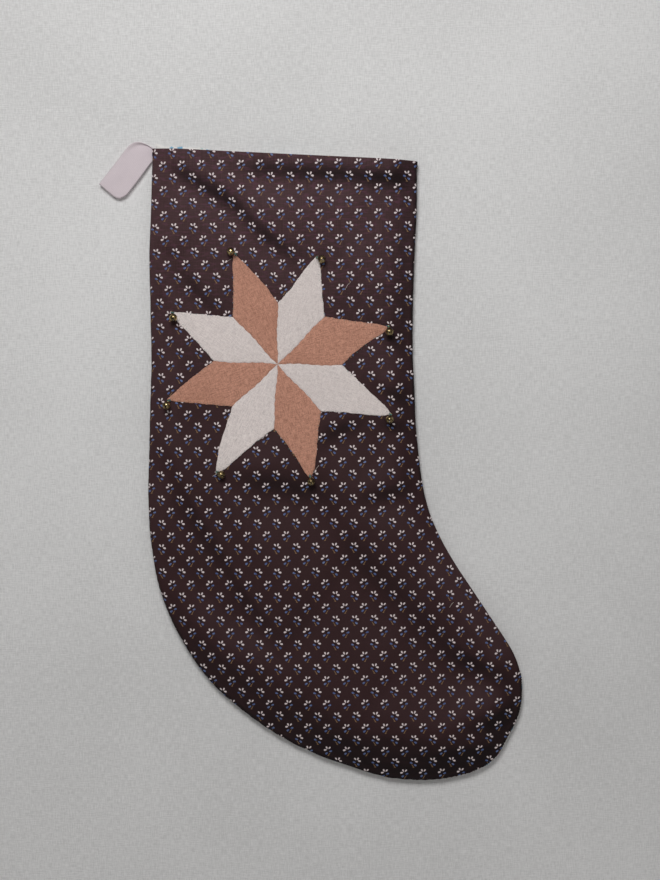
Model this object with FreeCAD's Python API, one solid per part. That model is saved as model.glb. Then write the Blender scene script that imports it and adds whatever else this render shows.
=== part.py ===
import FreeCAD, Part
import math
import os

# A lined cotton stocking that hangs from a ribbon loop, with an appliqued
# eight-pointed star and a small jingle bell at each point of the star.
# Millimetres. +Z is up the leg, +X points to the toe, the front faces -Y.
# The origin is the back top corner of the leg, where the loop is sewn on.

Vec = FreeCAD.Vector

# the shape of the stocking, seen from the front
leg_width = 199.5         # across the mouth
mouth_drop = 9.5          # the toe-side corner of the mouth is this much lower
leg_height = 267.0        # from the mouth down to the bend of the instep
heel_depth = 110.0        # from the instep bend down to the heel corner
sole_depth = 224.0        # from the instep bend down to the lowest sole corner
foot_length = 298.0       # from the back edge to the toe corner
toe_depth = 141.0         # from the instep bend down to the toe corner
back_lean = 6.0           # the heel corner stands this much behind the mouth
instep_inset = 1.8        # the leg narrows this much down to the instep
heel_span = 112.0         # from the heel corner forward to the first sole corner
heel_rise = 33.0          # the first sole corner is this much above the lowest
ball_setback = 87.0       # from the toe corner back to the lowest sole corner
tip_setback = 30.5        # from the toe corner back to the underside of the toe
tip_rise = 21.0           # the underside of the toe is this much above the lowest corner

heel_radius = 186.0
arch_radius = 237.0
ball_radius = 125.0
tip_radius = 34.0
toe_radius = 64.0
instep_radius = 226.0

# the layers of cloth
pouch_depth = 14.0        # over both faces of the filled-out stocking
seam_band = 1.0           # straight part of the edge, each side of the side seam
panel_cloth = 0.8
lining_cloth = 0.6
lining_clearance = 0.2

# the star: one diamond per point, clockwise from the upper left
star_x = 94.0
star_z = -161.2
notch_reach = 48.3        # from the centre to the notch between two points
notch_turn = -0.5         # the whole star is turned by this much
patch_cloth = 0.8
# name, degrees it leans from even spacing, reach of its tip, direction its bell hangs
star_points = [
    ("upper_left", -1.3, 88.1, 154.0),
    ("upper_right", 2.5, 85.2, -22.0),
    ("right_upper", -3.2, 88.1, -82.0),
    ("right_lower", -0.8, 93.2, -104.0),
    ("lower_right", -5.8, 88.0, -79.0),
    ("lower_left", -6.5, 93.3, -27.0),
    ("left_lower", -3.6, 86.2, -113.0),
    ("left_upper", -3.2, 87.7, -77.0),
]

# blind stitches that hold the star's outer edges down
stitch_pitch = 6.0
stitch_length = 1.3
stitch_width = 0.3
stitch_height = 0.3
stitch_tip_gap = 9.0      # no stitch this close to a tip or a notch

# jingle bells
bell_radius = 3.0
bell_wall = 0.3
belt_radius = 3.2         # the crimped belt round the middle
belt_height = 0.5
slot_width = 0.7
slot_depth = 2.2          # how far the slot reaches up from the bell's bottom
slot_hole_radius = 0.55
shank_ring_radius = 0.8
shank_wire_radius = 0.2
shank_sink = 0.05         # the ring is brazed this far into the crown
pea_radius = 0.9
pea_clearance = 0.3
thread_radius = 0.2
knot_radius = 0.55
knot_gap = 0.6            # from the middle of the ring to the middle of the knot
moving_clearance = 0.35

# the ribbon loop
ribbon_width = 22.2
ribbon_thickness = 0.6
loop_length = 46.0        # from its pivot to the outside of the bight
loop_direction = 230.5    # degrees from +X: it droops behind the back edge
loop_plane_y = 2.0
bight_radius = 4.0        # inside the fold at the end of the loop
neck_width = 5.2          # gathered where it turns over the mouth
neck_length = 2.0
shoulder_flare = 39.0     # degrees each side that it widens from the neck to full width
pivot_x = -2.0
pivot_z = 2.6
tail_inset = 8.0          # from the back edge to the sewn tails
tail_length = 14.0
tail_drop = 2.0           # the tails start this much below the mouth
ear_rise = 1.8            # the tails come up this far over the corner
ear_start = 1.4           # from the back edge to where they do
ear_step = 0.35           # clear of the cloth that they cross
ear_width = 10.0
tack_length = 18.0
tack_height = 0.9
tack_thickness = 0.4
tack_gap = 6.0            # between the two rows of tacking

cut_spare = 60.0          # how far cutting tools run past what they cut

half_depth = pouch_depth / 2
rim_radius = half_depth - seam_band
lining_inset = panel_cloth + lining_clearance
cavity_inset = lining_inset + lining_cloth
cavity_half = half_depth - cavity_inset
patch_top_y = -half_depth - patch_cloth
shoulder_rise = (ribbon_width - neck_width) / 2 / math.tan(math.radians(shoulder_flare))
shoulder_length = neck_length + shoulder_rise
bell_y = patch_top_y - stitch_height - moving_clearance - belt_radius
bell_drop = bell_radius + shank_ring_radius + shank_wire_radius - shank_sink
pea_travel = bell_radius - bell_wall - pea_radius - pea_clearance


def flat(x, z, y=0.0):
    return Vec(x, y, z)


def heading(degrees):
    """Unit vector in the plane of the stocking, measured from +X towards +Z."""
    angle = math.radians(degrees)
    return Vec(math.cos(angle), 0, math.sin(angle))


def polygon_face(points):
    return Part.Face(Part.makePolygon(points + [points[0]]))


def plate(points, y_low, y_high):
    """A flat plate with this outline in X and Z, between two depths."""
    moved = [Vec(p.x, y_low, p.z) for p in points]
    return polygon_face(moved).extrude(Vec(0, y_high - y_low, 0))


def outline_corners():
    """The corners of the stocking and the radius that rounds each one."""
    heel = (-back_lean, -leg_height - heel_depth)
    lowest = -leg_height - sole_depth
    toe_x = heel[0] + foot_length
    back_slope = back_lean / (leg_height + heel_depth)
    front_slope = instep_inset / leg_height
    return [
        (back_slope * cut_spare, cut_spare, 0.0),
        (heel[0], heel[1], heel_radius),
        (heel[0] + heel_span, lowest + heel_rise, arch_radius),
        (toe_x - ball_setback, lowest, ball_radius),
        (toe_x - tip_setback, lowest + tip_rise, tip_radius),
        (toe_x, -leg_height - toe_depth, toe_radius),
        (leg_width - instep_inset, -leg_height, instep_radius),
        (leg_width + front_slope * cut_spare, cut_spare, 0.0),
    ]


def outline_wire():
    """The rounded outline, run up past the mouth so that the mouth can be cut."""
    corners = outline_corners()
    count = len(corners)
    joints = []
    for i, (x, z, radius) in enumerate(corners):
        here = flat(x, z)
        before = flat(*corners[i - 1][:2]) - here
        after = flat(*corners[(i + 1) % count][:2]) - here
        before.normalize()
        after.normalize()
        half_angle = before.getAngle(after) / 2
        run = radius / math.tan(half_angle)
        middle = before + after
        middle.normalize()
        crest = here + middle * (radius / math.sin(half_angle) - radius)
        joints.append((here + before * run, crest, here + after * run, radius))
    edges = []
    for i, (start, crest, end, radius) in enumerate(joints):
        if radius > 0:
            edges.append(Part.Arc(start, crest, end).toShape())
        edges.append(Part.LineSegment(end, joints[(i + 1) % count][0]).toShape())
    return Part.Wire(edges)


def solid_pouch(inset):
    """The filled-out stocking, this far inside its outer surface."""
    wire = outline_wire()
    if inset > 0:
        wire = wire.makeOffset2D(-inset)
    depth = half_depth - inset
    slab = Part.Face(wire).extrude(Vec(0, 2 * depth, 0))
    slab.translate(Vec(0, -depth, 0))
    top = slab.BoundBox.ZMax
    rims = []
    for edge in slab.Edges:
        box = edge.BoundBox
        flat_edge = box.YLength < 0.01
        at_top = box.ZMin > top - 0.01
        if flat_edge and not at_top:
            rims.append(edge)
    return slab.makeFillet(rim_radius - inset, rims)


def above_mouth():
    """Everything over the slanting mouth."""
    slope = -mouth_drop / leg_width
    left = -cut_spare
    right = leg_width + cut_spare
    corners = [
        flat(left, left * slope),
        flat(right, right * slope),
        flat(right, 2 * cut_spare),
        flat(left, 2 * cut_spare),
    ]
    return plate(corners, -pouch_depth, pouch_depth)


def half_space(front):
    """A block that holds the front or the back half of the stocking."""
    size = 2 * (leg_height + sole_depth + foot_length)
    start_y = -size if front else 0.0
    return Part.makeBox(size, size, size, Vec(-size / 2, start_y, -size / 2))


def cloth_layer(outer_inset, inner_inset, front):
    shell = solid_pouch(outer_inset).cut(solid_pouch(inner_inset))
    return shell.cut(above_mouth()).common(half_space(front))


def notch_angle(index):
    return 112.5 + notch_turn - 45.0 * index + 22.5


def star_centre():
    return flat(star_x, star_z)


def star_notch(index):
    return star_centre() + heading(notch_angle(index)) * notch_reach


def star_tip(index):
    name, lean, reach, hang = star_points[index]
    return star_centre() + heading(notch_angle(index) - 22.5 + lean) * reach


def star_patch(index):
    corners = [
        star_centre(),
        star_notch(index),
        star_tip(index),
        star_notch(index + 1),
    ]
    return plate(corners, patch_top_y, -half_depth)


def edge_stitches(tip, notch, inside):
    """Short bars across one outer edge of a diamond, lying on its cloth."""
    along = notch - tip
    length = along.Length
    along.normalize()
    across = inside - tip
    across = across - along * across.dot(along)
    across.normalize()
    bars = []
    place = stitch_tip_gap
    while place < length - stitch_tip_gap:
        foot = tip + along * place
        side = along * (stitch_width / 2)
        head = foot + across * stitch_length
        corners = [foot - side, foot + side, head + side, head - side]
        bars.append(plate(corners, patch_top_y - stitch_height, patch_top_y))
        place += stitch_pitch
    return bars


def star_stitches():
    bars = []
    for index in range(len(star_points)):
        tip = star_tip(index)
        bars += edge_stitches(tip, star_notch(index), star_centre())
        bars += edge_stitches(tip, star_notch(index + 1), star_centre())
    return Part.makeCompound(bars)


def bell_centre():
    return Vec(0, bell_y, -bell_drop)


def bell_half_box(upper):
    size = 3 * bell_radius
    low = -bell_drop if upper else -bell_drop - size
    return Part.makeBox(2 * size, 2 * size, size, Vec(-size, bell_y - size, low))


def bell_shell():
    centre = bell_centre()
    outside = Part.makeSphere(bell_radius, centre)
    return outside.cut(Part.makeSphere(bell_radius - bell_wall, centre))


def bell_crown():
    """The upper half, with the crimped belt that grips the lower half."""
    centre = bell_centre()
    upper = bell_shell().common(bell_half_box(True))
    belt = Part.makeCylinder(belt_radius, belt_height, centre)
    belt = belt.cut(Part.makeSphere(bell_radius - bell_wall / 2, centre))
    return upper.fuse(belt)


def bell_jaw():
    """The lower half, slotted across the bottom with a round hole at each end."""
    centre = bell_centre()
    lower = bell_shell().common(bell_half_box(False))
    slot_top = centre.z - bell_radius + slot_depth
    reach = 2 * bell_radius
    corner = Vec(-slot_width / 2, bell_y - reach, slot_top - reach)
    slot = Part.makeBox(slot_width, 2 * reach, reach, corner)
    start = Vec(0, bell_y - reach, slot_top)
    holes = Part.makeCylinder(slot_hole_radius, 2 * reach, start, Vec(0, 1, 0))
    return lower.cut(slot).cut(holes)


def bell_shank():
    """A wire ring on top of the crown, facing forwards so that thread can pass."""
    return Part.makeTorus(shank_ring_radius, shank_wire_radius, Vec(0, bell_y, 0), Vec(0, 1, 0))


def bell_thread():
    """The tacking thread, out of the cloth, through the ring and knotted."""
    knot_y = bell_y - knot_gap
    start = patch_top_y - moving_clearance
    strand = Part.makeCylinder(thread_radius, start - knot_y, Vec(0, knot_y, 0), Vec(0, 1, 0))
    return strand.fuse(Part.makeSphere(knot_radius, Vec(0, knot_y, 0)))


def bell_pea(index):
    """The loose ball, resting at the lowest point inside its bell."""
    hang = star_points[index][3]
    centre = star_tip(index) + heading(hang) * bell_drop + Vec(0, bell_y, 0)
    return Part.makeSphere(pea_radius, centre - Vec(0, 0, pea_travel))


def hang_bell(shape, index):
    """Turn a piece of a bell to the way it hangs, and put it at its star tip."""
    hang = star_points[index][3]
    placed = shape.copy()
    placed.rotate(Vec(0, 0, 0), Vec(0, -1, 0), hang + 90.0)
    placed.translate(star_tip(index))
    return placed


def loop_profile():
    """Side view of the folded ribbon: two straight legs and a round bight."""
    outer = bight_radius + ribbon_thickness
    centre_s = loop_length - outer
    start_half = ribbon_thickness + 0.05
    root = math.hypot(centre_s, start_half)
    spread = math.asin((outer - start_half) / root)
    wires = []
    for radius, half, start in ((outer, start_half, 0.0), (bight_radius, 0.0, 2 * neck_length)):
        run = centre_s - start
        lean = math.asin((radius - half) / math.hypot(run, half)) if half == 0.0 else spread
        touch_s = centre_s - radius * math.sin(lean)
        touch_y = radius * math.cos(lean)
        top = Vec(touch_s, touch_y, 0)
        low = Vec(touch_s, -touch_y, 0)
        arc = Part.Arc(top, Vec(centre_s + radius, 0, 0), low).toShape()
        upper_root = Vec(start, half, 0)
        lower_root = Vec(start, -half, 0)
        edges = [Part.LineSegment(upper_root, top).toShape(), arc]
        edges.append(Part.LineSegment(low, lower_root).toShape())
        if half > 0:
            edges.append(Part.LineSegment(lower_root, upper_root).toShape())
        wires.append(Part.Wire(edges))
    return Part.Face(wires[0]).cut(Part.Face(wires[1]))


def ribbon_loop():
    """The loop, as it droops from the corner of the mouth."""
    half = ribbon_width / 2
    neck = neck_width / 2
    band = loop_profile().extrude(Vec(0, 0, ribbon_width))
    band.translate(Vec(0, 0, -half))
    shape = [
        Vec(0, 0, -neck),
        Vec(neck_length, 0, -neck),
        Vec(shoulder_length, 0, -half),
        Vec(loop_length, 0, -half),
        Vec(loop_length, 0, half),
        Vec(shoulder_length, 0, half),
        Vec(neck_length, 0, neck),
        Vec(0, 0, neck),
    ]
    loop = band.common(plate(shape, -half, half))
    loop.rotate(Vec(0, 0, 0), Vec(0, -1, 0), loop_direction)
    loop.translate(Vec(pivot_x, loop_plane_y, pivot_z))
    return loop


def ribbon_tails():
    """The sewn ends: inside the mouth on the back lining, and up over the corner."""
    right = tail_inset + ribbon_width
    bottom = -tail_drop - tail_length
    corners = [
        flat(tail_inset, bottom),
        flat(right, bottom),
        flat(right, -tail_drop),
        flat(ear_start + ear_width, ear_rise),
        flat(ear_start, ear_rise),
        flat(ear_start, ear_step),
        flat(tail_inset, ear_step),
    ]
    return plate(corners, cavity_half - 2 * ribbon_thickness, cavity_half)


def tail_tacks():
    """Two rows of tacking across the sewn ends."""
    front_y = cavity_half - 2 * ribbon_thickness - tack_thickness
    left = tail_inset + (ribbon_width - tack_length) / 2
    bars = []
    for row in range(2):
        low = -tail_drop - tail_length + tack_gap / 2 + row * tack_gap
        bars.append(Part.makeBox(tack_length, tack_thickness, tack_height, Vec(left, front_y, low)))
    return Part.makeCompound(bars)


def save(shape, name):
    shape.exportStep("parts/" + name + ".step")


def main():
    os.makedirs("parts", exist_ok=True)
    save(cloth_layer(0.0, panel_cloth, True), "front_panel")
    save(cloth_layer(0.0, panel_cloth, False), "back_panel")
    save(cloth_layer(lining_inset, cavity_inset, True), "lining_front")
    save(cloth_layer(lining_inset, cavity_inset, False), "lining_back")
    save(ribbon_loop(), "ribbon_loop")
    save(ribbon_tails(), "ribbon_tails")
    save(tail_tacks(), "ribbon_tacking")
    save(star_stitches(), "star_stitches")
    bell_pieces = [
        ("crown", bell_crown()),
        ("jaw", bell_jaw()),
        ("shank", bell_shank()),
        ("thread", bell_thread()),
    ]
    for index, point in enumerate(star_points):
        name = point[0]
        save(star_patch(index), "diamond_" + name)
        save(bell_pea(index), "pea_" + name)
        for kind, piece in bell_pieces:
            save(hang_bell(piece, index), "bell_" + kind + "_" + name)


main()
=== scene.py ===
import math
import random

import bpy
import numpy as np
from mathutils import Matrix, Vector


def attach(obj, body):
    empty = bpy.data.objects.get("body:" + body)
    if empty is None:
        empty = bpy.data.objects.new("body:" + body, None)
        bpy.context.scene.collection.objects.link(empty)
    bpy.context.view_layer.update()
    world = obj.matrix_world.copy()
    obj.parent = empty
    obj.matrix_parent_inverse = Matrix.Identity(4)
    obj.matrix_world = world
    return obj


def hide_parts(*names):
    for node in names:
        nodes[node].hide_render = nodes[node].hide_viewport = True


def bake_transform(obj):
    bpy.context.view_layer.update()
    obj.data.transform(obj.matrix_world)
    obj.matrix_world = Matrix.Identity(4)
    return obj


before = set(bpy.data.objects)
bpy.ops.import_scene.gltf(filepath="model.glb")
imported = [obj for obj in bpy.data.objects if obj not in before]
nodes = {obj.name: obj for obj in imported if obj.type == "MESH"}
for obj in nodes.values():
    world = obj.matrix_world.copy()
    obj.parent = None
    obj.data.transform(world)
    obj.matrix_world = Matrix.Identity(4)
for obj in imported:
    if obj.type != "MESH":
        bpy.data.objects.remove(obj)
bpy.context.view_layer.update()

mm = 0.001
scene = bpy.context.scene
scene.view_settings.view_transform = "Standard"
dice = random.Random(12)


# camera first: it looks straight at the front, tilted down a little
cameraLook = {
    "place": (0.1335, -1.1122, -0.1449),
    "tilt": 3.8,
    "lens": 60,
}


def makeCamera():
    data = bpy.data.cameras.new("camera")
    data.lens = cameraLook["lens"]
    data.sensor_width = 36
    camera = bpy.data.objects.new("camera", data)
    scene.collection.objects.link(camera)
    camera.location = cameraLook["place"]
    camera.rotation_euler = (math.radians(90 - cameraLook["tilt"]), 0, 0)
    scene.camera = camera


makeCamera()
print("camera ready")


# shader maths: a wrapped socket adds its Math nodes as it is used in an expression
class Wire:
    def __init__(self, paint, socket):
        self.paint = paint
        self.socket = socket

    def maths(self, operation, *others):
        return self.paint.add("ShaderNodeMath", {"operation": operation}, dict(enumerate((self,) + others)))

    def __add__(self, other):
        return self.maths("ADD", other)

    def __sub__(self, other):
        return self.maths("SUBTRACT", other)

    def __rsub__(self, other):
        return self.paint.value(other).maths("SUBTRACT", self)

    def __mul__(self, other):
        return self.maths("MULTIPLY", other)

    __radd__ = __add__

    def floor(self):
        return self.maths("FLOOR")

    def fract(self):
        return self.maths("FRACT")

    def sine(self):
        return self.maths("SINE")

    def least(self, other):
        return self.maths("MINIMUM", other)

    def most(self, other):
        return self.maths("MAXIMUM", other)

    # 0 below low, 1 above high, smooth between
    def ramp(self, low, high):
        settings = {"interpolation_type": "SMOOTHSTEP"}
        inputs = {"Value": self, "From Min": low, "From Max": high}
        return self.paint.add("ShaderNodeMapRange", settings, inputs)


class Paint:
    def __init__(self, name):
        self.material = bpy.data.materials.new(name)
        self.material.use_nodes = True
        self.tree = self.material.node_tree
        self.tree.nodes.clear()
        self.output = self.tree.nodes.new("ShaderNodeOutputMaterial")

    # any node: its type, its settings, the values or links of its sockets, and the output that is wanted
    def add(self, kind, settings=None, inputs=None, output=0):
        node = self.tree.nodes.new(kind)
        for key, value in (settings or {}).items():
            setattr(node, key, value)
        for key, value in (inputs or {}).items():
            if isinstance(value, Wire):
                self.tree.links.new(value.socket, node.inputs[key])
            else:
                node.inputs[key].default_value = value
        return Wire(self, node.outputs[output])

    def value(self, number):
        return self.add("ShaderNodeMath", {"operation": "ADD"}, {0: number, 1: 0.0})

    def places(self, kind="Object"):
        return self.add("ShaderNodeTexCoord", output=kind)

    def split(self, vector):
        first = self.add("ShaderNodeSeparateXYZ", None, {0: vector})
        node = first.socket.node
        return [Wire(self, node.outputs[i]) for i in range(3)]

    def join(self, x, y, z=0.0):
        return self.add("ShaderNodeCombineXYZ", None, {0: x, 1: y, 2: z})

    def noise(self, vector, scale, detail=2.0, rough=0.5):
        inputs = {"Scale": scale, "Detail": detail, "Roughness": rough, "Vector": vector}
        return self.add("ShaderNodeTexNoise", None, inputs)

    def blend(self, factor, first, second):
        return self.add("ShaderNodeMix", {"data_type": "RGBA"}, {0: factor, 6: first, 7: second}, 2)

    def bump(self, height, strength, distance):
        inputs = {"Height": height, "Strength": strength, "Distance": distance}
        return self.add("ShaderNodeBump", None, inputs)

    def surface(self, inputs):
        shader = self.add("ShaderNodeBsdfPrincipled", None, inputs)
        self.tree.links.new(shader.socket, self.output.inputs[0])
        return self.material


def rgb(r, g, b):
    return (r, g, b, 1.0)


# the small floral print: half drop rows, every other row mirrored
printPlan = {
    "origin": (155.2, -48.75),
    "wander": 1.2,            # how far the rows stray either way (mm)
    "pullAcross": 2.4,        # how far the weave is pulled to the side, and between which heights
    "pullTop": (-0.110, -0.060),
    "pullFoot": (-0.215, -0.165),
    "pullSide": (0.050, 0.125),
    "pullDown": 0.7,          # and down, below this height
    "pullStar": (-0.145, -0.085),
    "across": (14.62, 0.17),
    "down": (0.27, -18.59),
    "ground": rgb(0.075, 0.0395, 0.043),
    "groundDark": rgb(0.0325, 0.0138, 0.0146),
    "heart": rgb(0.012, 0.007, 0.008),
    "petal": rgb(0.70, 0.61, 0.61),
    "leaf": rgb(0.065, 0.105, 0.255),
    "leafPale": rgb(0.16, 0.215, 0.38),
    "stem": rgb(0.24, 0.145, 0.075),
    # middle x and z, half length, half width, direction of the thick end
    "petals": [(-0.95, 2.85, 1.12, 0.58, 112), (1.15, 2.75, 1.12, 0.55, 50), (-2.05, 1.0, 1.12, 0.68, 192)],
    "leaves": [(1.95, 0.0, 1.15, 0.64, 20), (-1.1, -1.9, 1.15, 0.7, 216)],
    "stems": [(0.85, -2.45, 1.8, 0.26, 236), (0.25, -3.75, 0.75, 0.24, 190)],
    "hearts": [(0.2, 0.6, 0.95, 0.75, 20)],
    "shadeLow": -0.24,         # painted shade: the cloth is painted a little darker below this height, where less light falls
    "shadeHigh": 0.0,
    "footShade": 0.95,
    # painted shade in the creases' hollows and on slopes leaning away from the light, painted light on
    # their crests
    "shadeAmount": 0.92,
    "lightAmount": 0.5,
    "creaseShade": rgb(0.008, 0.0045, 0.005),
    "crest": rgb(0.115, 0.066, 0.072),
}


def drop(x, z, shape):
    midX, midZ, length, width, degrees = shape
    c = math.cos(math.radians(degrees))
    s = math.sin(math.radians(degrees))
    along = (x - midX) * (c / length) + (z - midZ) * (s / length)
    side = (z - midZ) * (c / width) - (x - midX) * (s / width)
    wide = 1.0 - along * 0.3
    reach = along * along + side * side * wide * wide
    return 1.0 - reach.ramp(0.72, 1.25)


def anyOf(masks):
    most = masks[0]
    for mask in masks[1:]:
        most = most.most(mask)
    return most


def printedCotton(name):
    plan = printPlan
    paint = Paint(name)
    spot = paint.places()
    x, _, z = paint.split(spot)
    drift = paint.noise(spot, 14.0, 1.0)
    sway = paint.noise(spot, 23.0, 1.0)
    # the weave is pulled a little out of line on the left side and round the star
    high = 1 - z.ramp(*plan["pullTop"])
    low = z.ramp(*plan["pullFoot"])
    left = 1 - x.ramp(*plan["pullSide"])
    starHigh = 1 - z.ramp(*plan["pullStar"])
    pulled = high * low * left * plan["pullAcross"]
    px = x * 1000 + (drift - 0.5) * plan["wander"] - pulled - plan["origin"][0]
    pz = z * 1000 + (sway - 0.5) * plan["wander"] + starHigh * plan["pullDown"] - plan["origin"][1]
    ax, az = plan["across"]
    bx, bz = plan["down"]
    spread = ax * bz - az * bx
    column = px * (bz / spread) - pz * (bx / spread)
    row = (pz * (ax / spread) - px * (az / spread)) * 2
    rowIndex = (row + 0.5).floor()
    odd = rowIndex - (rowIndex * 0.5).floor() * 2
    shifted = column + odd * 0.5
    columnIndex = (shifted + 0.5).floor()
    seed = paint.join(columnIndex, rowIndex)
    chance = paint.add("ShaderNodeTexWhiteNoise", {"noise_dimensions": "2D"}, {"Vector": seed})
    localX = (shifted - columnIndex) * ax * (1 - odd * 2) + (chance - 0.5) * 0.35
    localZ = (row - rowIndex) * (bz / 2) + (chance * 7.31).fract() * 0.3 - 0.15
    petal = anyOf([drop(localX, localZ, shape) for shape in plan["petals"]])
    leaf = anyOf([drop(localX, localZ, shape) for shape in plan["leaves"]])
    stem = anyOf([drop(localX, localZ, shape) for shape in plan["stems"]])
    heart = anyOf([drop(localX, localZ, shape) for shape in plan["hearts"]])
    # threads: long streaks of lighter and darker yarn both ways
    weft = paint.noise(paint.join(x * 60, z * 2200), 1.0, 2.0)
    warp = paint.noise(paint.join(x * 2200, z * 60), 1.0, 2.0)
    broad = paint.noise(spot, 30.0, 3.0)
    blotch = paint.noise(spot, 11.0, 2.0)
    yarns = (weft * 0.5 + warp * 0.5).ramp(0.36, 0.66)
    shade = yarns * 0.62 + broad * 0.2 + blotch.ramp(0.35, 0.65) * 0.2
    ground = paint.blend(shade, plan["groundDark"], plan["ground"])
    slubs = paint.noise(paint.join(x * 160, z * 520), 1.0, 2.0)
    plum = paint.blend(slubs.ramp(0.5, 0.68) * 0.6, ground, rgb(0.100, 0.040, 0.062))
    ink = paint.noise(spot, 900.0, 2.0)
    worn = 0.82 + ink * 0.25
    leafColour = paint.blend(ink.ramp(0.4, 0.65), plan["leaf"], plan["leafPale"])
    # painted shade: the cloth darkens towards the foot, where less light falls
    aboveFootShade = z.ramp(plan["shadeLow"], plan["shadeHigh"])
    deep = paint.blend((1 - aboveFootShade) * plan["footShade"], plum, plan["groundDark"])
    # painted shade: the cloth is painted darker where it leans away from the light, in the hollows of the
    # creases, and painted light makes it paler on their crests
    shadeAndLight = paint.add("ShaderNodeAttribute", {"attribute_name": "shadeAndLight"}, None, 2)
    deep = paint.blend((1 - (shadeAndLight * 2).least(1.0)) * plan["shadeAmount"], deep, plan["creaseShade"])
    deep = paint.blend((shadeAndLight * 2 - 1).most(0.0) * plan["lightAmount"], deep, plan["crest"])
    colour = paint.blend(heart * 0.75, deep, plan["heart"])
    colour = paint.blend(stem * 0.85, colour, plan["stem"])
    colour = paint.blend(leaf * 0.93, colour, leafColour)
    colour = paint.blend(petal * worn, colour, plan["petal"])
    threads = (x * 14000).sine() * 0.5 + (z * 14000).sine() * 0.5
    height = threads * 0.6 + weft * 0.7 + warp * 0.7
    return paint.surface({
        "Base Color": colour,
        "Roughness": 0.6 + ink * 0.12,
        "Specular IOR Level": 0.12,
        "Normal": paint.bump(height, 0.35, 0.00012),
    })


# coarse linen, its threads turned to run along each diamond
def linen(name, colour, dark, degrees):
    paint = Paint(name)
    x, _, z = paint.split(paint.places())
    c = math.cos(math.radians(degrees))
    s = math.sin(math.radians(degrees))
    u = x * (1000 * c) + z * (1000 * s)
    v = z * (1000 * c) - x * (1000 * s)
    wander = paint.noise(paint.join(u * 0.08, v * 0.08), 1.0, 2.0)
    along = u + wander * 1.5
    across = v + wander * 1.5
    lengthThread = paint.noise(paint.join(along * 0.22, across * 1.15), 1.0, 3.0, 0.62)
    crossThread = paint.noise(paint.join(along * 1.15, across * 0.22), 1.0, 3.0, 0.62)
    weave = (along * 7.4).sine() * (across * 7.4).sine()
    slub = paint.noise(paint.join(along * 0.16, across * 2.2), 1.0, 1.0).ramp(0.66, 0.74)
    knots = paint.noise(paint.join(u, v), 1.6, 2.0, 0.7)
    shade = lengthThread * 0.36 + crossThread * 0.3 + knots * 0.3 + weave * 0.07 + 0.04
    broad = paint.noise(paint.join(u * 0.03, v * 0.03), 1.0, 3.0)
    tint = paint.blend(shade.ramp(0.41, 0.60), dark, colour)
    tint = paint.blend(broad.ramp(0.4, 0.75) * 0.25, tint, dark)
    tint = paint.blend(slub * 0.45, tint, rgb(*(min(1.0, part * 1.3) for part in colour[:3])))
    height = weave * 0.3 + lengthThread + crossThread + slub * 0.9 + knots * 0.8
    return paint.surface({
        "Base Color": tint,
        "Roughness": 0.9,
        "Sheen Weight": 0.1,
        "Specular IOR Level": 0.2,
        "Normal": paint.bump(height, 0.75, 0.0006),
    })


def floralLining(name):
    paint = Paint(name)
    spot = paint.places()
    inputs = {"Vector": spot, "Scale": 150.0}
    cells = paint.add("ShaderNodeTexVoronoi", {"voronoi_dimensions": "3D"}, inputs)
    pick = paint.add("ShaderNodeTexVoronoi", {"voronoi_dimensions": "3D"}, inputs, 1)
    r, g, _ = paint.split(pick)
    wobble = paint.noise(spot, 700.0, 2.0)
    blossom = 1.0 - (cells + wobble * 0.25).ramp(0.42, 0.55)
    colour = paint.blend(r.ramp(0.45, 0.5), rgb(0.12, 0.36, 0.55), rgb(0.62, 0.25, 0.36))
    colour = paint.blend(g.ramp(0.6, 0.65), colour, rgb(0.10, 0.40, 0.38))
    tint = paint.blend(blossom * 0.85, rgb(0.74, 0.72, 0.70), colour)
    threads = paint.noise(spot, 2500.0, 2.0)
    return paint.surface({
        "Base Color": tint,
        "Roughness": 0.9,
        "Specular IOR Level": 0.2,
        "Normal": paint.bump(threads, 0.4, 0.0002),
    })


def ribbonCloth(name):
    paint = Paint(name)
    u, v, _ = paint.split(paint.places("UV"))
    ribs = (v * 7.0).sine() * 0.5 + 0.5
    twill = ((u + v) * 9.0).sine() * 0.5 + 0.5
    yarn = paint.noise(paint.join(u * 3.0, v * 0.7), 1.0, 2.0)
    broad = paint.noise(paint.join(u * 0.08, v * 0.05), 1.0, 2.0)
    shade = ribs * 0.3 + twill * 0.2 + yarn * 0.35 + broad * 0.3
    tint = paint.blend(shade.ramp(0.2, 0.85), rgb(0.50, 0.43, 0.465), rgb(0.655, 0.575, 0.60))
    return paint.surface({
        "Base Color": tint,
        "Roughness": 0.62,
        "Sheen Weight": 0.2,
        "Specular IOR Level": 0.35,
        "Normal": paint.bump(ribs * 0.7 + yarn * 0.5, 0.5, 0.0002),
    })


def thread(name, colour, dark):
    paint = Paint(name)
    x, y, z = paint.split(paint.places())
    plies = ((x + z) * 9000 + y * 9000).sine() * 0.5 + 0.5
    fuzz = paint.noise(paint.places(), 4000.0, 2.0)
    tint = paint.blend((plies * 0.6 + fuzz * 0.4).ramp(0.2, 0.8), dark, colour)
    return paint.surface({
        "Base Color": tint,
        "Roughness": 0.8,
        "Sheen Weight": 0.2,
        "Normal": paint.bump(plies + fuzz * 0.5, 0.5, 0.0001),
    })


def agedMetal(name, colour, dark, rough, scale):
    paint = Paint(name)
    spot = paint.places()
    patina = paint.noise(spot, scale, 4.0, 0.6)
    scratches = paint.noise(spot, scale * 6, 2.0)
    tint = paint.blend(patina.ramp(0.42, 0.62), dark, colour)
    return paint.surface({
        "Base Color": tint,
        "Metallic": 1.0,
        "Roughness": rough + (1.0 - patina.ramp(0.4, 0.7)) * 0.12 + scratches * 0.05,
        "Normal": paint.bump(patina + scratches * 0.3, 0.25, 0.00008),
    })


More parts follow.
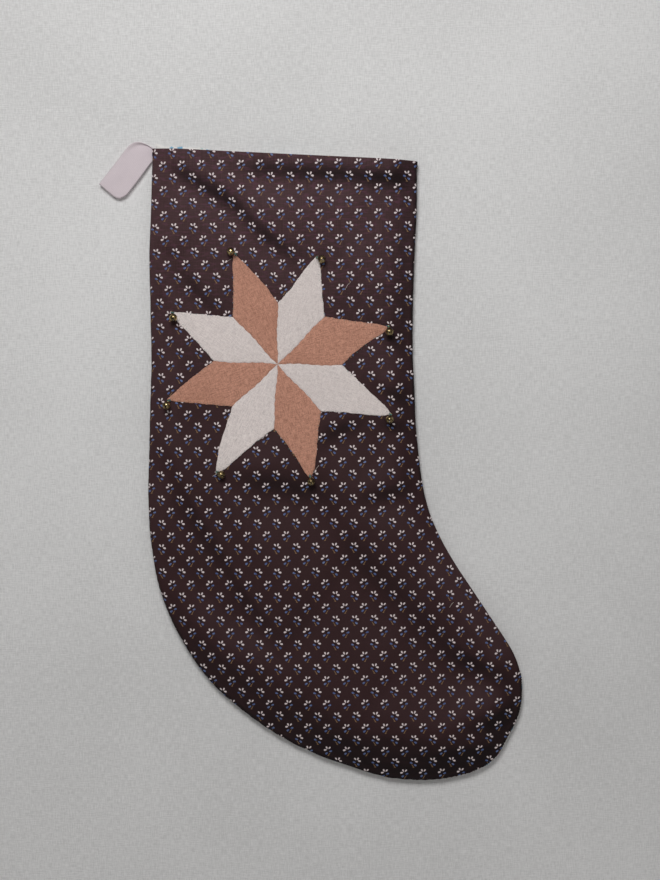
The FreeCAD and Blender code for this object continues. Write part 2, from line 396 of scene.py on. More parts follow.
def backdropLinen(name):
    paint = Paint(name)
    spot = paint.places()
    x, y, z = paint.split(spot)
    weft = paint.noise(paint.join(x * 170, z * 1300 + y * 1300), 1.0, 3.0, 0.6)
    warp = paint.noise(paint.join(x * 1300, z * 170 + y * 170), 1.0, 3.0, 0.6)
    broad = paint.noise(spot, 6.0, 3.0)
    shade = weft * 0.4 + warp * 0.4 + broad * 0.2
    low = rgb(0.57, 0.565, 0.56)
    high = rgb(0.73, 0.725, 0.72)
    return paint.surface({
        "Base Color": paint.blend(shade.ramp(0.36, 0.64), low, high),
        "Roughness": 0.95,
        "Specular IOR Level": 0.1,
        "Normal": paint.bump(weft + warp, 0.4, 0.0004),
    })


def makeMesh(name, points, faces, material, uvs=None):
    mesh = bpy.data.meshes.new(name)
    mesh.from_pydata([tuple(p) for p in points], [], [tuple(f) for f in faces])
    mesh.polygons.foreach_set("use_smooth", [True] * len(mesh.polygons))
    if uvs is not None:
        layer = mesh.uv_layers.new(name="cut")
        loops = np.zeros(len(mesh.loops), int)
        mesh.loops.foreach_get("vertex_index", loops)
        layer.data.foreach_set("uv", np.asarray(uvs, np.float32)[loops].ravel())
    mesh.materials.append(material)
    mesh.update()
    piece = bpy.data.objects.new(name, mesh)
    scene.collection.objects.link(piece)
    return piece


def gridFaces(rows, columns, flip=False):
    index = np.arange(rows * columns).reshape(rows, columns)
    quads = np.stack([index[:-1, :-1], index[:-1, 1:], index[1:, 1:], index[1:, :-1]], -1).reshape(-1, 4)
    return quads[:, ::-1] if flip else quads


# turns every face so that the piece's outer side looks along the given direction
def faceTowards(piece, direction):
    total = sum((f.normal * f.area for f in piece.data.polygons), Vector())
    if total.dot(Vector(direction)) < 0:
        piece.data.flip_normals()


def thicken(piece, thickness, offset=-1.0):
    solid = piece.modifiers.new("thickness", "SOLIDIFY")
    solid.thickness = thickness
    solid.offset = offset


# the outline of the cut cloth, in millimetres: corner x, corner z, radius
stocking = {
    "mouthLeft": (0.0, 0.0),
    "mouthRight": (199.44, -9.5),
    "corners": [
        (-6.0, -377.0, 186.0),
        (106.0, -458.0, 237.0),
        (205.0, -491.0, 125.0),
        (261.5, -470.0, 34.0),
        (292.0, -408.0, 64.0),
        (197.7, -267.0, 226.0),
    ],
    "toeStart": 0.560,        # share of the outline where the toe's end begins
    "toeEnd": 0.640,
    "fullDepth": 5.7,         # how far the cloth stands from the middle plane
    "depthLimit": 7.4,        # and its most, under the bells
    "edgeDepth": 2.6,
    "edgeRound": 3.0,
    "rimWidth": 25.0,         # how far in from the seam the cloth rounds over
    "seamPinch": 0.3,
    "seamBack": 3.0,          # the seam lies this far behind the middle plane, as on a pouch lying flat
    "seamFade": 13.0,         # and this far in the cloth has left it
    "creaseStart": 16.0,      # creases reach their full height this far in
    "limitEase": 0.5,         # how softly the cloth comes up to its limit
    "creaseGain": 1.5,
    "lightLean": 0.62,         # the lean towards the light at which the cloth's painted light is palest
    "shadeLean": 0.5,          # and the lean away from it at which the painted shade is darkest
    "paintedLightFrom": (-0.25, 0.3, 0.92),   # the side that the painted light comes from: left, out of the cloth, up
    "backWaves": 2.1,         # shifts the back's slow waves against the front's
    "mouthRound": 0.55,       # the mouth's folded edge
    "hem": 5.0,               # how far the fold runs down inside
    "cloth": 0.5,
    "steps": 1200,            # points round the outline
    "rows": 250,
    "columns": 104,
}


def roundedOutline(step=1.5):
    corners = stocking["corners"]
    chain = [stocking["mouthLeft"]] + [c[:2] for c in corners] + [stocking["mouthRight"]]
    points = [np.array(chain[0], float)]
    for i, corner in enumerate(corners):
        before, here, after = (np.array(chain[i + k], float) for k in range(3))
        toBefore = (before - here) / np.linalg.norm(before - here)
        toAfter = (after - here) / np.linalg.norm(after - here)
        half = math.acos(float(np.clip(toBefore @ toAfter, -1, 1))) / 2
        run = corner[2] / math.tan(half)
        start = here + toBefore * run
        end = here + toAfter * run
        middle = toBefore + toAfter
        centre = here + middle / np.linalg.norm(middle) * corner[2] / math.sin(half)
        first = math.atan2(*(start - centre)[::-1])
        turn = math.atan2(*(end - centre)[::-1]) - first
        turn = (turn + math.pi) % (2 * math.pi) - math.pi
        count = max(3, int(abs(turn) * corner[2] / step))
        for k in range(count + 1):
            angle = first + turn * k / count
            points.append(centre + corner[2] * np.array([math.cos(angle), math.sin(angle)]))
    points.append(np.array(chain[-1], float))
    return np.array(points)


def evenly(points, shares):
    lengths = np.concatenate([[0], np.cumsum(np.linalg.norm(np.diff(points, axis=0), axis=1))])
    at = shares * lengths[-1]
    return np.stack([np.interp(at, lengths, points[:, 0]), np.interp(at, lengths, points[:, 1])], -1)


# the sewn edge wanders a little either side of the cut line; these are measured values:
# share of the way round, and how far out (mm)
edgeWander = [
    (0.0, 0.0), (0.04, 0.8), (0.067, 1.9), (0.083, 1.5), (0.10, 0.9), (0.117, 0.3), (0.14, -0.5),
    (0.167, 0.3), (0.20, 0.8), (0.225, 1.4), (0.25, 0.2), (0.267, -0.8), (0.29, -0.3), (0.33, -0.8),
    (0.367, 0.0), (0.39, -0.9), (0.42, -0.5), (0.467, -0.7), (0.50, -0.5), (0.517, -1.1), (0.54, -0.9),
    (0.583, -1.2), (0.617, -0.4), (0.633, -0.9), (0.65, -0.5), (0.667, 0.3), (0.717, 0.4), (0.733, 0.1),
    (0.75, -0.7), (0.767, -1.3), (0.783, -0.6), (0.80, 0.8), (0.817, 1.1), (0.833, 0.4), (0.85, -0.2),
    (0.867, -1.7), (0.883, -2.2), (0.90, -2.2), (0.917, -2.0), (0.933, -1.5), (0.95, -0.9), (0.967, 0.0),
    (1.0, -0.3),
]


def wanderingOutline():
    shares = np.linspace(0, 1, stocking["steps"] + 1)
    points = evenly(roundedOutline(), shares)
    wander = np.array(edgeWander)
    out = np.interp(shares, wander[:, 0], wander[:, 1])
    reach = 12
    smoothing = np.hanning(2 * reach + 1)
    padded = np.pad(out, reach, mode="edge")
    out = np.convolve(padded, smoothing / smoothing.sum(), "valid")
    along = np.gradient(points, axis=0)
    along /= np.linalg.norm(along, axis=1, keepdims=True)
    return points + np.stack([along[:, 1], -along[:, 0]], -1) * out[:, None]


outline = wanderingOutline()


# how far each spot is from the seam, worked out for a batch of spots at a time
def edgeDistance(points, batch=4000):
    found = np.empty(len(points))
    for start in range(0, len(points), batch):
        gaps = points[start:start + batch, None, :] - outline[None, ::2, :]
        found[start:start + batch] = np.sqrt((gaps ** 2).sum(-1).min(1))
    return found


# soft creases in the lying cloth: from, to, half width,
# and how far the cloth falls from one side to the other (mm)
creases = [
    (16, -14, 62, -40, 5.5, 1.2),
    (58, -38, 104, -80, 6.5, 1.5),
    (70, -15, 142, -19, 6.5, 1.1),
    (142, -19, 197, -24, 7.5, 1.3),
    (150, -70, 176, -100, 12.0, -0.9),
    (-2, -69, 12, -76, 5.0, 1.2),
    (24, -92, 46, -122, 5.5, 1.1),
    (8, -104, 20, -160, 6.0, 0.5),
    (64, -246, 122, -258, 9.0, 1.2),
    (130, -216, 152, -206, 6.5, 1.1),
    (172, -178, 190, -190, 6.0, 1.3),
    (4, -222, 26, -268, 9.0, 1.6),
    (26, -268, 88, -366, 10.0, 2.4),
    (128, -252, 150, -300, 10.0, 1.4),
    (150, -300, 236, -388, 12.0, 1.5),
    (168, -128, 186, -150, 5.0, 1.0),
    (176, -204, 192, -212, 5.0, 1.0),
    (160, -262, 192, -256, 7.0, 1.1),
    (12, -300, 60, -352, 9.0, 0.7),
    (232, -384, 272, -404, 9.0, 1.6),
    (240, -440, 276, -428, 8.0, 1.3),
    (40, -380, 150, -448, 12.0, 1.2),
    (150, -448, 250, -462, 11.0, 1.3),
]


# slow waves between the creases: how fast they run across and up, and their height (mm)
clothWaves = [
    (0.042, 0.026, 0.20),
    (-0.034, 0.068, 0.12),
    (0.086, 0.058, 0.05),
    (0.12, -0.1, 0.04),
    (-0.21, 0.13, 0.02),
]


def drape(points, shift):
    x, z = points[:, 0], points[:, 1]
    lift = np.zeros(len(points))
    for fromX, fromZ, toX, toZ, width, fall in creases:
        start = np.array([fromX, fromZ], float)
        run = np.array([toX, toZ], float) - start
        length = np.linalg.norm(run)
        run /= length
        along = (points - start) @ run
        upward = np.array([-run[1], run[0]])
        side = (points - start) @ upward
        window = 1 / (1 + np.exp(-along / width)) * 1 / (1 + np.exp((along - length) / width))
        lift += fall * np.tanh(side / width) * np.exp(-(side / (3.0 * width)) ** 2) * window
    for k, (across, up, size) in enumerate(clothWaves):
        lift += size * np.sin(across * x + up * z + 1.7 * k + shift)
    return lift * stocking["creaseGain"]


# how far the cloth stands from the middle plane, and how far that plane lies back
def faceDepth(points, shift=0.0):
    d = edgeDistance(points)
    back = stocking["seamBack"] * np.exp(-(d / stocking["seamFade"]) ** 2)
    edge = np.sqrt(1 - (1 - np.clip(d / stocking["edgeRound"], 0, 1)) ** 2)
    slope = np.sin(math.pi / 2 * np.clip(d / stocking["rimWidth"], 0, 1))
    settle = np.clip(d / stocking["creaseStart"], 0, 1)
    low = stocking["edgeDepth"]
    full = stocking["fullDepth"]
    depth = low * edge + (full - low) * slope + drape(points, shift) * settle
    ease = stocking["limitEase"]
    over = np.maximum(depth - stocking["depthLimit"] + ease, 0)
    depth = np.where(over > 0, stocking["depthLimit"] - ease * np.exp(-over / ease), depth)
    return depth, back


# a sheet of points between the back edge, the front edge, the mouth and the toe's end
def coons(rowShares, columnShares):
    cutA = int(stocking["toeStart"] * stocking["steps"])
    cutB = int(stocking["toeEnd"] * stocking["steps"])
    left = evenly(outline[:cutA + 1], rowShares)
    right = evenly(outline[cutB:][::-1], rowShares)
    toe = evenly(outline[cutA:cutB + 1], columnShares)
    mouth = evenly(np.array([outline[0], outline[-1]]), columnShares)
    u = columnShares[None, :, None]
    v = rowShares[:, None, None]
    ruled = (1 - u) * left[:, None] + u * right[:, None]
    ends = (1 - v) * mouth[None] + v * toe[None]
    c00, c01, c10, c11 = left[0], right[0], left[-1], right[-1]
    flat = (1 - u) * (1 - v) * c00 + u * (1 - v) * c01 + (1 - u) * v * c10 + u * v * c11
    sheet = ruled + ends - flat
    # the inner points settle between their neighbours, so that no face folds at the toe
    for _ in range(160):
        around = sheet[:-2, 1:-1] + sheet[2:, 1:-1] + sheet[1:-1, :-2] + sheet[1:-1, 2:]
        sheet[1:-1, 1:-1] = around / 4
    return sheet


def easedShares(count, ease):
    t = np.linspace(0, 1, count)
    return (1 - ease) * t + ease * (0.5 - 0.5 * np.cos(math.pi * t))


def makePanel(name, side, material):
    rows, columns = stocking["rows"], stocking["columns"]
    t = np.linspace(0, 1, rows)
    rowShares = 0.45 * t + 0.55 * (1 - (1 - t) ** 2)
    sheet = coons(rowShares, easedShares(columns, 0.55))
    flatPoints = sheet.reshape(-1, 2)
    depth, back = faceDepth(flatPoints, stocking["backWaves"] if side > 0 else 0.0)
    # the seam is drawn in a little, so a fine groove runs round the edge
    middle = flatPoints.reshape(rows, columns, 2)
    inward = np.zeros_like(middle)
    inward[:, 0] = middle[:, 2] - middle[:, 0]
    inward[:, -1] = middle[:, -3] - middle[:, -1]
    inward[-1, 1:-1] = middle[-3, 1:-1] - middle[-1, 1:-1]
    size = np.linalg.norm(inward, axis=2, keepdims=True)
    inward = np.where(size > 0, inward / np.maximum(size, 1e-9), 0).reshape(-1, 2)
    shaped = flatPoints + inward * stocking["seamPinch"]
    points = np.stack([shaped[:, 0], side * depth + back, shaped[:, 1]], -1)
    grid = points.reshape(rows, columns, 3)
    # the mouth is folded over a small radius and runs down inside
    fold = []
    radius = stocking["mouthRound"]
    for angle in (180, 150, 120, 90, 60, 30):
        a = math.radians(angle)
        ring = grid[0].copy()
        ring[:, 1] -= side * radius * (1 - math.cos(a))
        ring[:, 2] += radius * math.sin(a)
        fold.append(ring)
    deep = fold[0].copy()
    deep[:, 2] -= stocking["hem"]
    deep[:, 1] -= side * 0.2
    full = np.concatenate([np.stack([deep] + fold), grid])
    piece = makeMesh(name, full.reshape(-1, 3) * mm, gridFaces(len(full), columns), material)
    faceTowards(piece, (0, side, 0))
    # how far each spot of the cloth leans upwards, towards the light (1), or downwards, away from it (0),
    # is kept for its painted light and shade
    downRows = np.gradient(full, axis=0)
    acrossColumns = np.gradient(full, axis=1)
    normals = np.cross(downRows, acrossColumns)
    normals *= np.sign(normals[..., 1:2]) * side
    normals /= np.maximum(np.linalg.norm(normals, axis=2, keepdims=True), 1e-9)
    toLeft, outwards, upwards = stocking["paintedLightFrom"]
    lean = normals @ np.array([toLeft, side * outwards, upwards])
    lean -= outwards
    shadeAndLight = np.clip(0.5 + lean / np.where(lean < 0, stocking["shadeLean"], stocking["lightLean"]), 0, 1)
    shadeAndLight[:len(fold)] = shadeAndLight[len(fold) + 1]
    layer = piece.data.attributes.new("shadeAndLight", "FLOAT", "POINT")
    layer.data.foreach_set("value", shadeAndLight.ravel().astype(np.float32))
    return piece


printed = printedCotton("printed_cotton")
liningPaint = floralLining("floral_lining")
outlineX, outlineZ = outline[:, 0], outline[:, 1]
crossed = outlineX * np.roll(outlineZ, -1) - outlineZ * np.roll(outlineX, -1)

for name, side, node in (("frontPanel", -1.0, "front_panel"), ("backPanel", 1.0, "back_panel")):
    panel = makePanel(name, side, printed)
    thicken(panel, stocking["cloth"] * mm)
    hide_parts(node)
    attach(panel, "stocking")
print("panels ready")


lining = {
    "gap": 1.4,
    "cloth": 0.4,
    "rows": 120,
    "columns": 80,
    "peek": 1.7,              # it shows above the folded mouth for a short way
    "peekFrom": 7.0,
    "peekTo": 46.0,
    "bulge": 5.2,             # and stands up behind the ribbon's corner
    "bulgeTo": 14.0,
}


def makeLining(name, side):
    rows, columns = lining["rows"], lining["columns"]
    t = np.linspace(0, 1, rows)
    rowShares = 0.004 + 0.99 * (0.6 * t + 0.4 * (1 - (1 - t) ** 2))
    sheet = coons(rowShares, 0.012 + 0.976 * easedShares(columns, 0.5))
    flatPoints = sheet.reshape(-1, 2)
    depth, back = faceDepth(flatPoints, stocking["backWaves"] if side > 0 else 0.0)
    inner = np.maximum(depth - lining["gap"], 0.45)
    points = np.stack([flatPoints[:, 0], side * inner + back, flatPoints[:, 1]], -1)
    points = points.reshape(rows, columns, 3)
    top = points[0].copy()
    x = top[:, 0]
    show = np.clip((x - lining["peekFrom"]) / 4, 0, 1) * np.clip((lining["peekTo"] - x) / 10, 0, 1)
    ragged = 0.25 * np.sin(x * 0.9) + 0.15 * np.sin(x * 2.3 + 1)
    if side < 0:
        top[:, 2] += 0.2 + show * (lining["peek"] + ragged)
        top[:, 1] -= show * 0.3
    else:
        bulge = lining["bulge"] * np.clip(1 - x / lining["bulgeTo"], 0, 1) ** 0.8
        top[:, 2] += 0.2 + bulge * np.clip((x + 1) / 2, 0.6, 1)
        top[:, 1] -= bulge * 0.25
    middle = (top + points[0]) / 2
    middle[:, 1] += side * 0.15
    full = np.concatenate([top[None], middle[None], points])
    piece = makeMesh(name, full.reshape(-1, 3) * mm, gridFaces(len(full), columns), liningPaint)
    faceTowards(piece, (0, -side, 0))
    thicken(piece, lining["cloth"] * mm)
    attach(piece, "stocking")
    return piece


for name, side, node in (("frontLining", -1.0, "lining_front"), ("backLining", 1.0, "lining_back")):
    piece = makeLining(name, side)
    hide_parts(node)
print("linings ready")


# the star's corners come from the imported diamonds
def plateCorners(node):
    points = np.array([v.co for v in nodes[node].data.vertices])[:, [0, 2]] * 1000
    corners = []
    for p in points:
        if all(np.linalg.norm(p - q) > 0.2 for q in corners):
            corners.append(p)
    return np.array(corners)


pointNames = [n[len("diamond_"):] for n in nodes if n.startswith("diamond_")]
cornerSets = {name: plateCorners("diamond_" + name) for name in pointNames}
allCorners = np.concatenate(list(cornerSets.values()))
shared = [sum(np.linalg.norm(q - p, axis=1).min() for q in cornerSets.values()) for p in allCorners]
starCentre = allCorners[int(np.argmin(shared))]
terracottaNames = ("upper_left", "right_upper", "lower_right", "left_lower")

patch = {
    "grid": 44,
    "lift": 0.7,              # the cloth's top above the panel
    "puff": 0.35,
    "edgeRoll": 1.5,
    "ditch": 0.4,
    "stitchPitch": 4.2,
    "stitchPull": 0.28,
    "cloth": 0.5,
    "thread": 0.11,           # half the stitch thread's width
    "knotThread": 0.16,
    "knotTop": 8.3,           # a knot reaches at least this far from the middle plane, to its bell's thread
    "seamReach": 48.0,        # the seams between the diamonds end here
}

# where the sewn corners lie beside their drawn places (mm), going round clockwise from the upper left point
tipShift = {
    "upper_left": (-1.5, 0.0),
    "upper_right": (0.2, 1.1),
    "right_upper": (0.3, -0.5),
    "right_lower": (0.0, 0.2),
    "lower_right": (-0.1, -1.9),
    "lower_left": (-0.8, -1.9),
    "left_lower": (-2.0, 0.4),
    "left_upper": (-1.0, 0.4),
}
# the same for the notches: share of a turn from the right, counted upwards, and the shift
notchShift = [
    (0.02, (0.3, 0.0)), (0.14, (1.2, 2.0)), (0.25, (-0.2, -2.1)), (0.39, (0.2, 1.1)),
    (0.51, (0.0, 2.0)), (0.64, (0.1, 1.9)), (0.76, (-2.4, -0.5)), (0.89, (-1.0, -1.1)),
]
# how far each outer edge bows out at 0.3, 0.6 and 0.85 of the way to its tip:
# the clockwise edge, then the other
edgeBow = {
    "upper_left": ((1.9, 1.7, 1.3), (0.0, 0.2, 1.0)),
    "upper_right": ((0.1, 0.9, 1.4), (-0.7, 0.6, 1.0)),
    "right_upper": ((-1.2, -0.6, 0.8), (0.1, 0.5, 0.9)),
    "right_lower": ((0.1, 1.2, 1.9), (0.5, 0.7, 1.4)),
    "lower_right": ((-0.9, -0.8, 0.5), (0.4, 1.7, 2.2)),
    "lower_left": ((1.3, 2.5, 1.4), (-0.4, 0.3, 1.2)),
    "left_lower": ((0.6, 0.9, 0.4), (0.3, 0.4, 0.6)),
    "left_upper": ((0.1, 0.2, 0.5), (0.1, 0.7, 1.4)),
}
linenColours = {
    True: (rgb(0.68, 0.345, 0.245), rgb(0.36, 0.165, 0.11)),
    False: (rgb(0.90, 0.81, 0.775), rgb(0.66, 0.58, 0.56)),
}


def turnShare(point):
    offset = point - starCentre
    return (math.atan2(offset[1], offset[0]) / (2 * math.pi)) % 1.0


# centre, clockwise notch, tip and the other notch of one diamond
def sewnCorners(name):
    corners = cornerSets[name]
    order = np.argsort(np.linalg.norm(corners - starCentre, axis=1))
    centre, tip = corners[order[0]], corners[order[-1]]
    notches = [corners[i] for i in order[1:3]]
    notches.sort(key=lambda notch: np.cross(tip - centre, notch - centre))
    moved = []
    for notch in notches:
        turn = turnShare(notch)
        gaps = [abs((turn - share + 0.5) % 1.0 - 0.5) for share, _ in notchShift]
        moved.append(notch + np.array(notchShift[int(np.argmin(gaps))][1]))
    return starCentre, moved[0], tip + np.array(tipShift[name]), moved[1]


def sideDistance(points, a, b):
    run = b - a
    share = np.clip(((points - a) @ run) / (run @ run), 0, 1)
    return np.linalg.norm(points - a - share[:, None] * run, axis=1), share * np.linalg.norm(run)


# the seams between the diamonds aren't quite straight; both neighbours follow the same line
def seamWander(points):
    moved = points.copy()
    for name in pointNames:
        for notch in sewnCorners(name)[1::2]:
            along = (notch - starCentre) / np.linalg.norm(notch - starCentre)
            across = np.array([-along[1], along[0]])
            reach = (points - starCentre) @ along
            off = (points - starCentre) @ across
            phase = 3.1 * math.atan2(along[1], along[0])
            bow = 0.55 * np.sin(reach * 0.13 + phase) + 0.22 * np.sin(reach * 0.9 + 2 * phase)
            bow += 0.1 * np.sin(reach * 2.9)
            ends = np.clip(reach / 8, 0, 1) * np.clip((patch["seamReach"] - reach) / 8, 0, 1)
            window = ends * np.exp(-(off / 2.5) ** 2)
            moved += 0.5 * (bow * window)[:, None] * across
    return moved


def surfaceLift(points):
    depth, back = faceDepth(points)
    return depth - back


def makeDiamond(name):
    centre, first, tip, second = sewnCorners(name)
    count = patch["grid"]
    shares = easedShares(count, 0.6)
    u = shares[:, None, None]
    v = shares[None, :, None]
    inward = (1 - u) * (1 - v) * centre + u * (1 - v) * first
    flat = (inward + u * v * tip + (1 - u) * v * second).reshape(-1, 2)
    outerA, alongA = sideDistance(flat, first, tip)
    outerB, alongB = sideDistance(flat, second, tip)
    innerA, _ = sideDistance(flat, centre, first)
    innerB, _ = sideDistance(flat, centre, second)
    outer = np.minimum(outerA, outerB)
    inner = np.minimum(innerA, innerB)
    roll = np.sqrt(1 - (1 - np.clip((outer + 0.1) / patch["edgeRoll"], 0, 1)) ** 2)
    puff = patch["puff"] * (1 - np.exp(-(outer / 6) ** 2)) * (1 - np.exp(-(inner / 5) ** 2))
    ditch = patch["ditch"] * np.exp(-(inner / 0.8) ** 2)
    phase = dice.uniform(0, 6)
    ripple = 0.12 * np.sin(flat[:, 0] * 0.35 + phase) * np.sin(flat[:, 1] * 0.31 + phase)
    height = surfaceLift(flat) + patch["lift"] * (0.25 + 0.75 * roll) + puff - ditch + ripple
    # the stitches draw the turned edge in, and the hand-cut edge wanders
    near = np.exp(-(outer / 2.0) ** 2)
    along = np.where(outerA < outerB, alongA, alongB)
    pull = patch["stitchPull"] * np.abs(np.cos(along * math.pi / patch["stitchPitch"])) ** 6
    wander = 0.22 * np.sin(along * 0.55 + phase) + 0.12 * np.sin(along * 1.7 + 2 * phase)
    middle = (centre + tip) / 2
    outward = flat - middle
    outward /= np.maximum(np.linalg.norm(outward, axis=1, keepdims=True), 1e-6)
    shaped = flat + outward * ((wander - pull) * near * (1 - np.exp(-(inner / 3) ** 2)))[:, None]
    bowA, bowB = edgeBow[name]
    for notch, other, alongEdge, bow in ((first, second, alongA, bowA), (second, first, alongB, bowB)):
        run = tip - notch
        length = np.linalg.norm(run)
        normal = np.array([-run[1], run[0]]) / length
        normal *= -np.sign(normal @ (other - notch))
        share = alongEdge / length
        reach = np.interp(share, [0, 0.3, 0.6, 0.85, 1.0], [0.0, *bow, 0.35 * bow[2]])
        gap = np.abs((flat - notch) @ normal)
        width = np.maximum(np.abs((other - notch) @ normal) * (1 - share), 1.0)
        shaped = shaped + normal * (reach * np.clip(1 - gap / width, 0, 1) ** 1.5)[:, None]
    shaped = seamWander(shaped)
    points = np.stack([shaped[:, 0], -height, shaped[:, 1]], -1)
    warm = name in terracottaNames
    angle = math.degrees(math.atan2(*(tip - centre)[::-1])) + dice.uniform(-6, 6)
    colour, dark = linenColours[warm]
    tone = dice.uniform(0.96, 1.04)
    colour = rgb(*(part * tone for part in colour[:3]))
    paint = linen("linen_" + name, colour, dark, angle)
    piece = makeMesh("diamond-" + name, points * mm, gridFaces(count, count), paint)
    faceTowards(piece, (0, -1, 0))
    thicken(piece, patch["cloth"] * mm)
    return piece, centre, first, tip, second


starSides = []
knotPlaces = []
for name in pointNames:
    piece, centre, first, tip, second = makeDiamond(name)
    starSides += [(first, tip, centre), (second, tip, centre)]
    drawn = tip - np.array(tipShift[name])
    knotPlaces += [(first, drawn, centre), (second, drawn, centre)]
    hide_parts("diamond_" + name)
    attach(piece, "stocking")
    width = float(np.linalg.norm(second - first)) * mm
    length = float(np.linalg.norm(tip - centre)) * mm
print("star ready")


# a smooth curve through a chain of points
def smoothChain(points, steps):
    points = np.array(points, float)
    padded = np.concatenate([[2 * points[0] - points[1]], points, [2 * points[-1] - points[-2]]])
    made = []
    for i in range(1, len(padded) - 2):
        p0, p1, p2, p3 = padded[i - 1:i + 3]
        second = 2 * p0 - 5 * p1 + 4 * p2 - p3
        third = 3 * p1 - p0 - 3 * p2 + p3
        for t in np.linspace(0, 1, steps, endpoint=False):
            made.append(0.5 * (2 * p1 + (p2 - p0) * t + second * t ** 2 + third * t ** 3))
    made.append(points[-1])
    return np.array(made)


# sewing thread: short tubes, bowed over the cloth's edge
def tube(path, radius, sides=6):
    path = np.array(path, float)
    rings = []
    for i, p in enumerate(path):
        ahead = path[min(i + 1, len(path) - 1)] - path[max(i - 1, 0)]
        ahead /= np.linalg.norm(ahead)
        helper = np.array([0.0, 0.0, 1.0]) if abs(ahead[2]) < 0.9 else np.array([1.0, 0.0, 0.0])
        a = np.cross(ahead, helper)
        a /= np.linalg.norm(a)
        b = np.cross(ahead, a)
        for k in range(sides):
            angle = 2 * math.pi * k / sides
            rings.append(p + radius * (math.cos(angle) * a + math.sin(angle) * b))
    faces = []
    for i in range(len(path) - 1):
        for k in range(sides):
            n = (k + 1) % sides
            faces.append((i * sides + k, i * sides + n, (i + 1) * sides + n, (i + 1) * sides + k))
    last = (len(path) - 1) * sides
    faces.append(tuple(range(sides - 1, -1, -1)))
    faces.append(tuple(last + k for k in range(sides)))
    return rings, faces


def joinTubes(tubes):
    points, faces = [], []
    for ring, quads in tubes:
        base = len(points)
        points += ring
        faces += [tuple(base + i for i in f) for f in quads]
    return np.array(points), faces


# along a diamond's outer edge, across it towards the centre, and the edge's length
def edgeFrame(notch, tip, centre):
    length = np.linalg.norm(tip - notch)
    run = (tip - notch) / length
    across = centre - notch
    across = across - run * (across @ run)
    return run, across / np.linalg.norm(across), length


def starStitches():
    tubes = []
    for notch, tip, centre in starSides:
        run, across, length = edgeFrame(notch, tip, centre)
        place = patch["stitchPitch"] * 0.5
        while place < length - 2:
            foot = notch + run * (place + dice.uniform(-0.3, 0.3))
            outside = foot - across * 0.35
            inside = foot + across * 0.95 + run * 0.25
            base = surfaceLift(np.array([outside, foot, inside]))
            path = [
                (outside[0], -base[0], outside[1]),
                (foot[0], -(base[1] + 0.45), foot[1]),
                (inside[0], -(base[2] + patch["lift"] + 0.1), inside[1]),
            ]
            tubes.append(tube(path, patch["thread"], 5))
            place += patch["stitchPitch"]
    for notch, tip, centre in knotPlaces:
        run, across, _ = edgeFrame(notch, tip, centre)
        base = float(surfaceLift(np.array([tip]))[0])
        top = max(base + patch["lift"], patch["knotTop"])
        for turn in (-0.5, 0.15, 0.6):
            lean = run * math.cos(turn) + across * math.sin(turn)
            path = [
                (tip[0] - lean[0] * 1.3, -(base + 0.1), tip[1] - lean[1] * 1.3),
                (tip[0] - lean[0] * 0.5, -(top - 0.1), tip[1] - lean[1] * 0.5),
                (tip[0] + lean[0] * 0.1, -top, tip[1] + lean[1] * 0.1),
                (tip[0] + lean[0] * 0.6, -(base + 0.2), tip[1] + lean[1] * 0.6),
            ]
            tubes.append(tube(path, patch["knotThread"], 6))
    return joinTubes(tubes)


tealThread = thread("teal_thread", rgb(0.10, 0.30, 0.29), rgb(0.03, 0.11, 0.11))
points, faces = starStitches()
stitches = makeMesh("star-stitches", points * mm, faces, tealThread)
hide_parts("star_stitches")
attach(stitches, "stocking")


# bits of pale lint and frayed yarn that cling to the cloth: from, to
lint = [
    ((144.7, -105.4), (149.2, -99.2)),
    ((224.5, -346.0), (227.5, -342.0)),
    ((56.5, -84.2), (60.2, -82.1)),
    ((122.6, -216.2), (125.2, -217.8)),
    ((122.4, -219.4), (125.2, -218.0)),
    ((122.0, -242.2), (125.2, -237.6)),
    ((44.6, -245.8), (48.6, -243.9)),
    ((22.0, -131.0), (25.4, -132.4)),
    ((167.0, -136.0), (171.4, -137.2)),
]


def makeLint():
    tubes = []
    for start, end in lint:
        start, end = np.array(start), np.array(end)
        bow = np.array([-(end - start)[1], (end - start)[0]]) * 0.05
        spots = np.array([start, (start + end) / 2 + bow, end])
        depths = surfaceLift(spots) + 0.12
        path = smoothChain(np.stack([spots[:, 0], -depths, spots[:, 1]], -1), 5)
        tubes.append(tube(path, patch["thread"], 5))
    return joinTubes(tubes)


points, faces = makeLint()
paleThread = thread("pale_thread", rgb(0.75, 0.68, 0.62), rgb(0.5, 0.43, 0.38))
lintPiece = makeMesh("lint", points * mm, faces, paleThread)
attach(lintPiece, "stocking")
print("stitches ready")


# the ribbon: edge points from the fold at its end, up to the corner and over into the mouth (mm)
ribbon = {
    "cloth": 0.45,
    "width": 22.2,
    "gap": 1.8,               # between the two layers at the fold
    "cup": 2.6,               # how far its upper edge leans forward as it goes over the corner
    "cupWidth": 2.2,
    "left": [
        (-39.9, -25.0, 4.0), (-33.2, -16.6, 3.6), (-26.5, -8.2, 3.4), (-20.6, -0.6, 3.5),
        (-17.0, 3.2, 4.0), (-12.8, 5.4, 4.8), (-8.6, 5.3, 5.4), (-4.2, 3.5, 5.8),
        (-0.2, 0.7, 5.8), (3.0, -4.0, 5.0), (5.0, -14.0, 4.4),
    ],
    "right": [
        (-23.6, -38.6, 4.4), (-16.9, -30.0, 4.0), (-10.3, -21.6, 3.8), (-4.2, -13.4, 4.1),
        (-1.0, -9.2, 5.0), (1.6, -6.6, 5.8), (4.6, -4.6, 6.2), (8.6, -3.4, 6.2),
        (13.5, -3.6, 5.8), (19.0, -6.5, 4.9), (25.0, -16.0, 4.4),
    ],
    "columns": 30,
    "stepsPerSpan": 7,
    "cornerRound": 3.2,       # the outer corners of the fold
}


